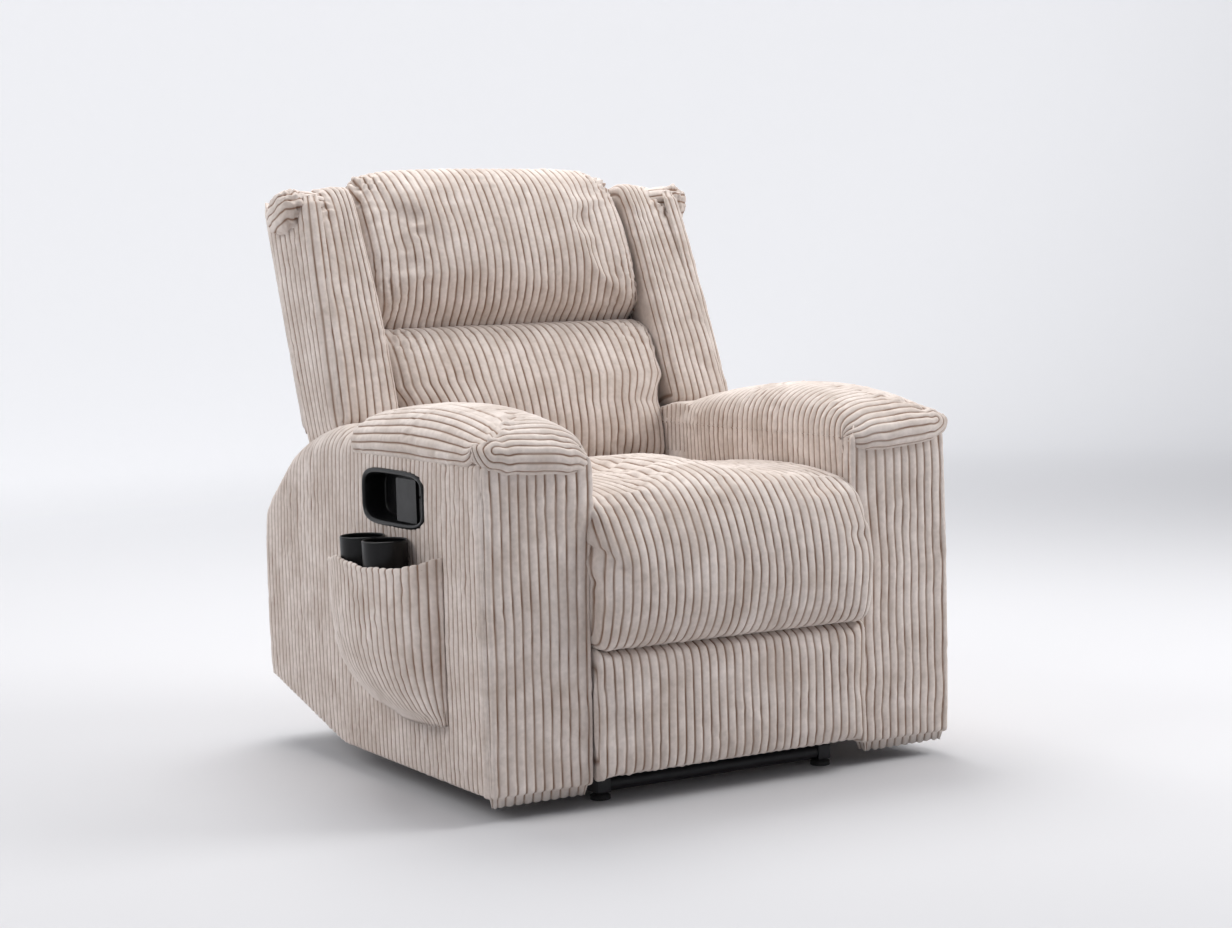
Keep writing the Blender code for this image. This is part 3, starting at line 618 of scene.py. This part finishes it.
def upright(name, path, side, lowAt, topAt, replaced, body, seed, place=None, thick=0.020, bulge=0.003,
            profile=None, turn=1, height=ribHeight, field=None, along=2, after=None):
    length = np.linalg.norm(np.diff(path, axis=0), axis=1).sum()
    count = int(round(length / ribPitch)) + 1
    plan = resample(path, count, smooth=False)
    tangent = np.gradient(plan, axis=0)
    tangent /= np.linalg.norm(tangent, axis=1, keepdims=True)
    inward = np.stack([-tangent[:, 1], tangent[:, 0]], 1) * turn
    levels = np.linspace(0, 1, 34)
    grid = []
    for (x, y), m in zip(plan, inward):
        low, top = lowAt(y), topAt(y)
        if profile:
            loop = profile(x, y, low, top, levels)
        else:
            rise = top - low
            outer = [(thick * 0.5, low), (0.002, low + 0.003)]
            outer += [(-bulge * math.sin(math.pi * t) ** 0.6, low + 0.010 + (rise - 0.020) * t)
                      for t in levels]
            loop = outer + [(0.002, top - 0.003), (thick * 0.5, top), (thick, top - 0.002),
                            (thick, (low + top) / 2), (thick, low + 0.002)]
        grid.append([(x + m[0] * d, y + m[1] * d, z) for d, z in loop])
    grid = np.array(grid)
    u = np.repeat((np.arange(count) * length / (count - 1))[:, None], grid.shape[1], 1)
    fabric(name, mirrored(grid, side), u, replaced, body, place, seed=seed, along=along, height=height,
           field=field, after=after)


# rear of the back

backShape = dict(face=0.0012, split=0.1725, low=0.032, high=0.597, side=0.033)


def makeBackPanel():
    shape = backShape
    wide = halfWidth - shape["side"]
    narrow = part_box("back_bracket_left")[0].x - midX - 0.001
    for name, half, low, high in (("backPanel", wide, shape["split"], shape["high"]),
                                  ("backPanelLower", narrow, shape["low"], shape["split"] - 0.0005)):
        path = np.array([(half, shape["face"]), (-half, shape["face"])])
        upright(name, path, 1, lambda h: low, lambda h: high, ["back_cover"], "backrest", 61, place=backPlace,
                thick=0.012, bulge=0.0005, height=0.0020)


# arms

def topLine(y):  # upper edge of an arm's outer face
    return np.interp(y, [0, 0.44, 0.50, 0.56, 0.604, 0.66, 0.72, 0.769, 0.815, 0.86, armRear],
                     [armTop, armTop, 0.591, 0.598, 0.596, 0.584, 0.566, 0.545, 0.511, 0.477, 0.440])


def bottomLine(y):
    return np.interp(y, [0, seatRear - 0.030, seatRear - 0.006, armRear - 0.020, armRear],
                     [armFloor, armFloor, armFloor + 0.004, armFloor + 0.080, armFloor + 0.086])


def sideProfile(x, y, low, top, levels):  # outer face, rounded over at the rear slope
    behind = np.interp(y, [0.46, 0.53], [0, 1])
    onRear = np.interp(abs(x), [halfWidth - 0.05, halfWidth - 0.01], [1, 0])
    slope = behind * (1 - onRear)
    roll = 0.008 + 0.040 * slope
    shelf = behind * onRear
    width = 0.016 + (armWidth - 0.018) * slope + 0.052 * shelf
    lift = (0.6 * (width - roll) - 0.002) * shelf
    rise = top - roll - low - 0.010
    outer = [(0.012, low), (0.002, low + 0.003)]
    outer += [(-0.003 * math.sin(math.pi * t) ** 0.6, low + 0.010 + rise * t) for t in levels]
    over = [(roll * (1 - math.cos(t)), top - roll + roll * math.sin(t))
            for t in np.linspace(0, math.pi / 2, 7)[1:]]
    over += [(roll + (width - roll) * t, top + 0.004 * math.sin(t * 2.6) * slope + lift * t)
             for t in (0.33, 0.66, 0.95)]
    return outer + over + [(width, top - 0.006 + lift), (width, top - 0.040 * slope - 0.008 + 0.7 * lift),
                           (max(0.020, width * 0.9), top - 0.045 * (1 - shelf)), (0.020, top - 0.060),
                           (0.020, (top + low) / 2), (0.020, low + 0.02), (0.018, low)]


def armSide(label, side):
    rear = armRear - 0.001
    path = planPath([(halfWidth - 0.006, 0.004), (halfWidth, 0.004), (halfWidth, rear),
                     (armInner + 0.001, rear)], {1: 0.0058, 2: 0.026})
    upright("armSide" + label, path, side, bottomLine, topLine,
            ["arm_outer_panel_" + label.lower(), "arm_rear_panel_" + label.lower()], "chassis", 70 + side,
            profile=sideProfile, along=4 if side < 0 else 2, after=tuckHandle if side < 0 else None)


def tuckHandle(points):  # the cover turns in behind the handle's flange
    low, high = (np.array(corner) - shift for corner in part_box("handle_bezel"))
    half, centre = (high - low)[1:] / 2 - 0.0030, ((high + low) / 2)[1:]
    share = np.abs(points[..., 1:] - centre) / half
    inside = (share ** handleShape["squareness"]).sum(axis=2) < 1
    points = points.copy()
    points[..., 0] += np.where(inside, 0.050, 0.0)
    return points


def armInside(label, side):  # inner face of an arm, below the pad
    path = np.array([(armInner, armRear - 0.046), (armInner, 0.014)])
    upright("armInside" + label, path, side, lambda y: bottomLine(y) + 0.030,
            lambda y: min(topLine(y) - 0.040, armTop - 0.050), ["arm_inner_panel_" + label.lower()],
            "chassis", 120 + side, thick=0.020, bulge=0.0005, height=0.0016)


def leanOver(points):  # the inner edge of an arm's front bulges over the seat towards the top
    rise = np.clip((points[..., 2] - 0.33) / 0.20, 0, 1)
    inner = np.clip((armInner + 0.075 - np.abs(points[..., 0])) / 0.075, 0, 1)
    points = points.copy()
    points[..., 0] -= np.sign(points[..., 0]) * padShape["overSeat"] * rise * rise * (3 - 2 * rise) * inner
    return points


def armFront(label, side):
    inner = armInner + 0.0005
    path = planPath([(inner, 0.034), (inner, 0.000), (halfWidth - 0.001, 0.000), (halfWidth - 0.001, 0.010)],
                    {1: 0.009, 2: 0.006})
    upright("armFront" + label, path, side, lambda y: armFloor, lambda y: armTop + 0.004,
            ["arm_front_panel_" + label.lower()], "chassis", 80 + side, thick=0.018, after=leanOver)


padShape = dict(
    crown=[(0.668, 0.540), (0.662, 0.554), (0.636, 0.571), (0.606, 0.588), (0.576, 0.602), (0.540, 0.612),
           (0.500, 0.620), (0.440, 0.631),
           (0.340, 0.641), (0.240, 0.645), (0.150, 0.640), (0.080, 0.629), (0.036, 0.617), (0.008, 0.604),
           (-0.012, 0.589), (-0.0185, 0.572), (-0.014, 0.555), (-0.002, 0.546), (0.014, 0.547)],
    outerEdge=[(0.68, 0.530), (0.62, 0.560), (0.56, 0.562), (0.50, 0.559), (0.42, 0.559), (0.30, 0.560),
               (0.10, 0.559),
               (0.02, 0.560)],
    section=[(0.008, 1.06), (0.000, 0.99), (-0.005, 0.90), (-0.007, 0.75), (-0.003, 0.56), (0.008, 0.36),
             (0.026, 0.18), (0.050, 0.065), (0.078, 0.01), (0.105, 0.0), (0.132, 0.03), (0.155, 0.11),
             (0.174, 0.27), (0.184, 0.48), (0.188, 0.72), (0.189, 1.0)],
    noseCentre=(0.016, 0.583), innerDrop=0.140, overSeat=0.014, endFrom=0.462, endRadius=0.034)


def armPad(label, side):
    shape = padShape
    crown = resample(shape["crown"], 400)
    length = np.linalg.norm(np.diff(crown, axis=0), axis=1).sum()
    count = int(length / ribPitch * 2) + 1
    crown = resample(crown, count, smooth=False)
    s = np.linspace(0, length, count)
    tangent = np.gradient(crown, axis=0)
    tangent /= np.linalg.norm(tangent, axis=1, keepdims=True)
    noseS = np.interp(0.050, crown[::-1, 0], s[::-1])
    centre = np.array(shape["noseCentre"])
    section = resample(shape["section"], 44)
    edge = np.array(shape["outerEdge"])
    rows = len(section) + 8
    grid = np.zeros((count, rows, 3))
    steps = np.r_[0, np.cumsum(np.linalg.norm(np.diff(section * np.array([1, 0.082]), axis=0), axis=1))]
    t = np.r_[steps, steps[-1] + 0.0165 * np.arange(1, 9)]
    for i, point in enumerate(crown):
        past = np.clip((point[0] - shape["endFrom"]) / shape["endRadius"], 0, 1)
        rounded = shape["endRadius"] * (1 - math.sqrt(1 - min(past, 0.985) ** 2))
        ahead = np.clip((s[i] - noseS) / 0.050, 0, 1)
        ahead = ahead * ahead * (3 - 2 * ahead)
        outerZ = np.interp(point[0], edge[::-1, 0], edge[::-1, 1])
        innerZ = armTop - 0.002
        for j, (a, q) in enumerate(section):
            share = np.clip(a / 0.189, 0, 1)
            low = outerZ + (innerZ - outerZ) * share
            straight = np.array([0, -(point[1] - low)])
            aim = straight * (1 - ahead) + (centre - point) * ahead
            inset = a * armWidth / 0.189 + rounded * (1 - share)
            grid[i, j] = (halfWidth - inset, *(point + aim * q))
            corner = ahead * np.clip((a - 0.135) / 0.054, 0, 1) ** 2
            grid[i, j, 1] += 0.010 * corner
            grid[i, j, 2] -= ahead * (0.013 * share ** 2 + 0.0012 * math.sin(a * 190 + side)) + 0.010 * corner
        over = shape["overSeat"] * np.clip((0.56 - point[0]) / 0.10, 0, 1)
        grid[i, :len(section), 0] -= over * np.clip((section[:, 0] - 0.095) / 0.094, 0, 1) ** 1.5
        last = grid[i, len(section) - 1].copy()
        depth = shape["innerDrop"] * (1 - ahead)
        for k, drop in enumerate((0.25, 0.6, 1.0)):
            grid[i, len(section) + k] = last + np.array([over * drop ** 2, 0, -depth * drop])
        grid[i, len(section) + 3] = last + np.array([0.008, 0, -depth])
        grid[i, len(section) + 4] = last + np.array([0.014, 0, -depth * 0.9])
        grid[i, len(section) + 5] = last + np.array([0.016, 0, -depth * 0.1])
        for k, across in enumerate((0.35, 0.7)):
            grid[i, len(section) + 6 + k] = last + (grid[i, 0] - last) * across
    packed = np.concatenate([grid, np.repeat(s[:, None], rows, 1)[..., None],
                             np.repeat(t[None], count, 0)[..., None]], 2)
    packed = refine(packed, 4, 5, False, True)
    points, s2, t2 = packed[..., :3], packed[..., 3], packed[..., 4]
    tAt = lambda a: np.interp(a, section[4:, 0], steps[4:])
    apexS = s[np.argmax((crown[:, 0] < 0.03) & (crown[:, 1] < 0.592))]
    apexT = tAt(0.026)
    across = np.hypot(s2 - apexS, np.minimum(t2 - apexT, 0))
    toNose = np.clip((s2 - (apexS - 0.140)) / 0.105, 0, 1)
    seamT = tAt(0.098) + (apexT + 0.004 - tAt(0.098)) * toNose ** 2 + 0.004 * wander(points, 0.12, 97 + side)
    band = (t2 < seamT) & (s2 < apexS - 0.030)
    u = np.where(band, t2 + 0.006, across)
    normal = gridNormals(points, True) * volumeSign(points, True)
    nap = wander(points, 0.11, 90 + side)
    wave = ribWave(u + 0.0010 * wander(points, 0.16, 91 + side))
    small = wander(points, 0.030, 92 + side)
    messy = np.exp(-((t2 - seamT) / 0.026) ** 2) * np.exp(-((s2 - apexS + 0.085) / 0.060) ** 2)
    pucker = wander(points, 0.022, 95 + side)
    lift = ribHeight * (wave - 0.8) + 0.0009 * small * np.clip(nap + 0.2, 0, 1) + 0.0030 * pucker * messy
    points = points + normal * lift[..., None]
    points[..., 0] *= side
    cover("armPad" + label, points + shift, True, wave, True, ["arm_pad_" + label.lower()], "chassis")


# pocket and cups on the right arm

pocketShape = dict(
    front=0.137, rear=0.500, mouth=0.398, hem=0.010, skin=0.004,
    hemRoll=[(0.001, 0.0), (0.004, 0.0008), (0.008, 0.0010), (0.0105, -0.0002), (0.0115, -0.0028),
             (0.0100, -0.0052)],
    levels=[(0.143, 0.46, 0.026), (0.158, 0.66, 0.046), (0.186, 0.83, 0.064), (0.222, 0.92, 0.077),
            (0.256, 0.96, 0.083), (0.310, 0.985, 0.086), (0.392, 1.0, 0.086)])


def pocketPoint(w, z, inset):  # w runs from the front edge to the rear edge
    shape = pocketShape
    heights, shares, bulges = (np.array(column) for column in zip(*shape["levels"]))
    share, bulge = np.interp(z, heights, shares), np.interp(z, heights, bulges)
    swell = max(0.0, math.sin(math.pi * w)) ** 0.38
    rearward = shape["front"] + (shape["rear"] - shape["front"]) * share * w
    towards = np.sign(0.5 - w) * inset * (1 - swell) ** 2
    return (-halfWidth - 0.0026 - (bulge - inset) * swell, rearward + towards, z)


def makePocket():
    shape = pocketShape
    spread = np.linspace(0, 1, 400)
    top = np.array([pocketPoint(w, shape["mouth"] - 0.01, 0) for w in spread])
    lengths = np.r_[0, np.cumsum(np.linalg.norm(np.diff(top, axis=0), axis=1))]
    count = int(round(lengths[-1] / ribPitch)) + 1
    stations = np.interp(np.linspace(0, lengths[-1], count), lengths, spread)
    heights = np.r_[0.1435, 0.150, 0.160, 0.172, np.linspace(0.190, shape["mouth"] - shape["hem"], 14)]
    grid = []
    for w in stations:
        dip = -0.010 * math.sin(math.pi * min(w * 1.6, 1)) - 0.022 * max(0, w - 0.6) / 0.4
        dip += 0.008 * math.exp(-(w / 0.02) ** 2) + 0.0015 * math.sin(w * 31)
        mouth = shape["mouth"] + dip
        hemLow = mouth - shape["hem"]
        outer = [pocketPoint(w, z, 0) for z in heights if z < hemLow - 0.004]
        missing = len(heights) - len(outer)
        outer += [pocketPoint(w, hemLow - 0.001 * (missing - k), 0) for k in range(missing)]
        roll = [pocketPoint(w, hemLow + dz, -d) for dz, d in shape["hemRoll"]]
        inner = [pocketPoint(w, z, shape["skin"] + 0.002) for z in (mouth - 0.006, hemLow, 0.33, 0.28, 0.262)]
        grid.append(outer + roll + inner + [pocketPoint(w, 0.258, shape["skin"] + 0.010)])
    grid = np.array(grid)
    u = np.repeat((np.arange(count) * lengths[-1] / (count - 1))[:, None], grid.shape[1], 1)
    fabric("sidePocket", grid, u, ["side_pocket"], "chassis", seed=101, along=3, height=0.0024)


handleShape = dict(
    squareness=4.4, around=160,
    lip=[(0.0000, 0.0002), (0.0000, -0.0022), (0.0012, -0.0036), (0.0034, -0.0042), (0.0060, -0.0036),
         (0.0078, -0.0018), (0.0084, 0.0010), (0.0090, 0.0080), (0.0094, 0.0350), (0.0110, 0.0370),
         (0.0470, 0.0374), (0.0470, 0.0398), (0.0072, 0.0398), (0.0071, 0.0060), (0.0060, 0.0004)])


def squircle(halfLong, halfTall, power, count):
    angles = np.linspace(0, 2 * math.pi, count, endpoint=False)
    c, d = np.cos(angles), np.sin(angles)
    reach = (np.abs(c) ** power + np.abs(d) ** power) ** (-1 / power)
    return np.stack([halfLong * c * reach, halfTall * d * reach], 1)


def makeHandle():
    shape = handleShape
    low, high = (np.array(corner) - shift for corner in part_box("handle_bezel"))
    half, centre = (high - low)[1:] / 2 + 0.0015, ((high + low) / 2)[1:]
    lip = resample(shape["lip"], 90, closed=True, smooth=False)
    grid = np.zeros((len(lip), shape["around"], 3))
    for i, (inset, deep) in enumerate(lip):
        ring = squircle(half[0] - inset, half[1] - inset, shape["squareness"], shape["around"])
        grid[i, :, 0] = -halfWidth + deep
        grid[i, :, 1:] = centre + ring
    grid = np.concatenate([grid, grid[:1]])
    moulded("handleShell", grid + shift, "chassis", "handle_bezel")


cupShape = dict(
    wall=[(0.0, -0.1475), (0.030, -0.1475), (0.0335, -0.1440), (0.0362, -0.010), (0.0362, -0.0036),
          (0.0345, -0.0008), (0.0352, 0.0), (0.0368, 0.0), (0.0379, -0.0010), (0.0380, -0.0040),
          (0.0376, -0.0060),
          (0.0376, -0.0100), (0.0350, -0.1470), (0.0335, -0.1498), (0.030, -0.1500),
          (0.0, -0.1500)], turns=96)


def makeCups():
    for name, body in (("front", "cup_front"), ("rear", "cup_rear")):
        low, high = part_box("cup_holder_" + name)
        centre = ((low.x + high.x) / 2, (low.y + high.y) / 2, high.z)
        profile = resample(cupShape["wall"], 120, smooth=False)
        angles = np.linspace(0, 2 * math.pi, cupShape["turns"], endpoint=False)
        grid = np.stack([np.outer(profile[:, 0], np.cos(angles)), np.outer(profile[:, 0], np.sin(angles)),
                         np.repeat(profile[:, 1:], len(angles), 1)], 2) + np.array(centre)
        grid[0, :, :2] = grid[-1, :, :2] = centre[:2]
        moulded("cup" + name.capitalize(), grid, body, "cup_holder_" + name)


rearShape = dict(shelfEnd=(0.752, 0.428), sag=0.010, skin=0.007)


def makeRearCover():  # up the rear, then forward as a loose flap to the foot of the back
    low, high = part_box("rear_cover")
    low, high = np.array(low) - shift, np.array(high) - shift
    rear, top = high[1] - 0.001, high[2] - 0.002
    reach, drop = rear - rearShape["shelfEnd"][0], rearShape["shelfEnd"][1] - top

    def profile(x, y, bottom, ceiling, levels):
        outer = [(0.005, bottom), (0.001, bottom + 0.003)]
        outer += [(-0.001 * math.sin(math.pi * t) ** 0.6, bottom + 0.010 + (top - bottom - 0.022) * t)
                  for t in levels]
        flap = [(0.0015 + (reach - 0.0015) * t, top + drop * t - rearShape["sag"] * math.sin(math.pi * t))
                for t in np.linspace(0, 1, 12)]
        under = [(d, z - rearShape["skin"]) for d, z in flap[:1:-2]]
        back = [(0.009, top - 0.020), (0.009, bottom + 0.002)]
        return outer + [(0.0002, top - 0.005)] + flap + under + back

    path = np.array([(high[0] - 0.002, rear), (low[0] + 0.002, rear)])
    upright("rearCover", path, 1, lambda y: low[2] + 0.002, lambda y: top, ["rear_cover"], "chassis", 111,
            profile=profile, height=0.0016)


makeSeat()
makeFootrest()
makeBackCushions()
makeWings()
makeBackPanel()
for label, side in (("Right", -1), ("Left", 1)):
    armSide(label, side)
    armFront(label, side)
    armInside(label, side)
    armPad(label, side)
makePocket()
makeHandle()
makeCups()
makeRearCover()


# room, light and camera

studio = dict(
    paper=(0.66, 0.662, 0.678, 1), glow=(0.45, 0.453, 0.462, 1),
    floorRadius=6.5, bend=3.0, wall=4.5, air=(0.95, 0.96, 1.0, 1), airStrength=0.515,
    lamps=(("keyLight", (-3.6, 0.2, 3.2), 2.0, 48, (1.0, 0.985, 0.97)),
           ("topLight", (0.5, 1.6, 3.8), 2.6, 112, (1.0, 0.99, 0.98)),
           ("sideLight", (2.9, -1.6, 2.8), 1.8, 76, (1.0, 0.985, 0.97))))


def buildStage():
    shape = studio

    def floorBuild(tree, shader):
        shader.inputs["Base Color"].default_value = shape["paper"]
        shader.inputs["Roughness"].default_value = 0.95
        shader.inputs["Specular IOR Level"].default_value = 0.1
        where = node(tree, "ShaderNodeSeparateXYZ", {0: node(tree, "ShaderNodeTexCoord").outputs["Object"]})
        far = node(tree, "ShaderNodeMapRange", {"Value": where.outputs["Y"], "From Min": 1.0,
                                                "From Max": 7.0}, interpolation_type="SMOOTHSTEP")
        glow = node(tree, "ShaderNodeMix", {0: far.outputs["Result"], 6: (0, 0, 0, 1), 7: shape["glow"]},
                    data_type="RGBA")
        tree.links.new(glow.outputs[2], shader.inputs["Emission Color"])
        shader.inputs["Emission Strength"].default_value = 1.0
    turns = np.linspace(0, math.pi / 2, 16)
    radius, bend = shape["floorRadius"], shape["bend"]
    profile = [(0.0, 0.0), (2.0, 0.0), (4.0, 0.0), (radius, 0.0)]
    profile += [(radius + bend * math.sin(t), bend * (1 - math.cos(t))) for t in turns[1:]]
    profile += [(radius + bend, bend + shape["wall"])]
    angles = np.linspace(0, 2 * math.pi, 96, endpoint=False)
    grid = np.array([[(r * math.cos(t), r * math.sin(t), z) for t in angles] for r, z in profile])
    floor = place3d("floor", meshFrom("floor", grid, True, {}, False))
    floor.data.materials.append(paint("paleFloor", floorBuild))
    world = bpy.data.worlds.new("studio")
    bpy.context.scene.world = world
    world.use_nodes = True
    world.node_tree.nodes["Background"].inputs["Color"].default_value = shape["air"]
    world.node_tree.nodes["Background"].inputs["Strength"].default_value = shape["airStrength"]
    for name, at, size, power, tint in shape["lamps"]:
        data = bpy.data.lights.new(name, "AREA")
        data.size, data.energy, data.color = size, power, tint
        lamp = bpy.data.objects.new(name, data)
        bpy.context.scene.collection.objects.link(lamp)
        lamp.location = at
        lamp.rotation_euler = (Vector((0, 0, 0.5)) - Vector(at)).to_track_quat("-Z", "Y").to_euler()
    bpy.context.scene.view_settings.view_transform = "Standard"


def buildCamera():
    yaw, pitch, roll = (math.radians(a) for a in (30.02, 4.89, -1.62))
    look = np.array([math.sin(yaw) * math.cos(pitch), math.cos(yaw) * math.cos(pitch), -math.sin(pitch)])
    right = np.cross(look, [0, 0, 1])
    right /= np.linalg.norm(right)
    up = np.cross(right, look)
    c, s = math.cos(roll), math.sin(roll)
    right, up = c * right + s * up, -s * right + c * up
    data = bpy.data.cameras.new("camera")
    data.sensor_width = 36
    data.lens = 69.9
    camera = bpy.data.objects.new("camera", data)
    bpy.context.scene.collection.objects.link(camera)
    at = np.array([-2.097, -3.27, 0.873]) + shift
    camera.matrix_world = Matrix(((right[0], up[0], -look[0], at[0]), (right[1], up[1], -look[1], at[1]),
                                  (right[2], up[2], -look[2], at[2]), (0, 0, 0, 1)))
    bpy.context.scene.camera = camera


buildStage()
buildCamera()
print("stage set")
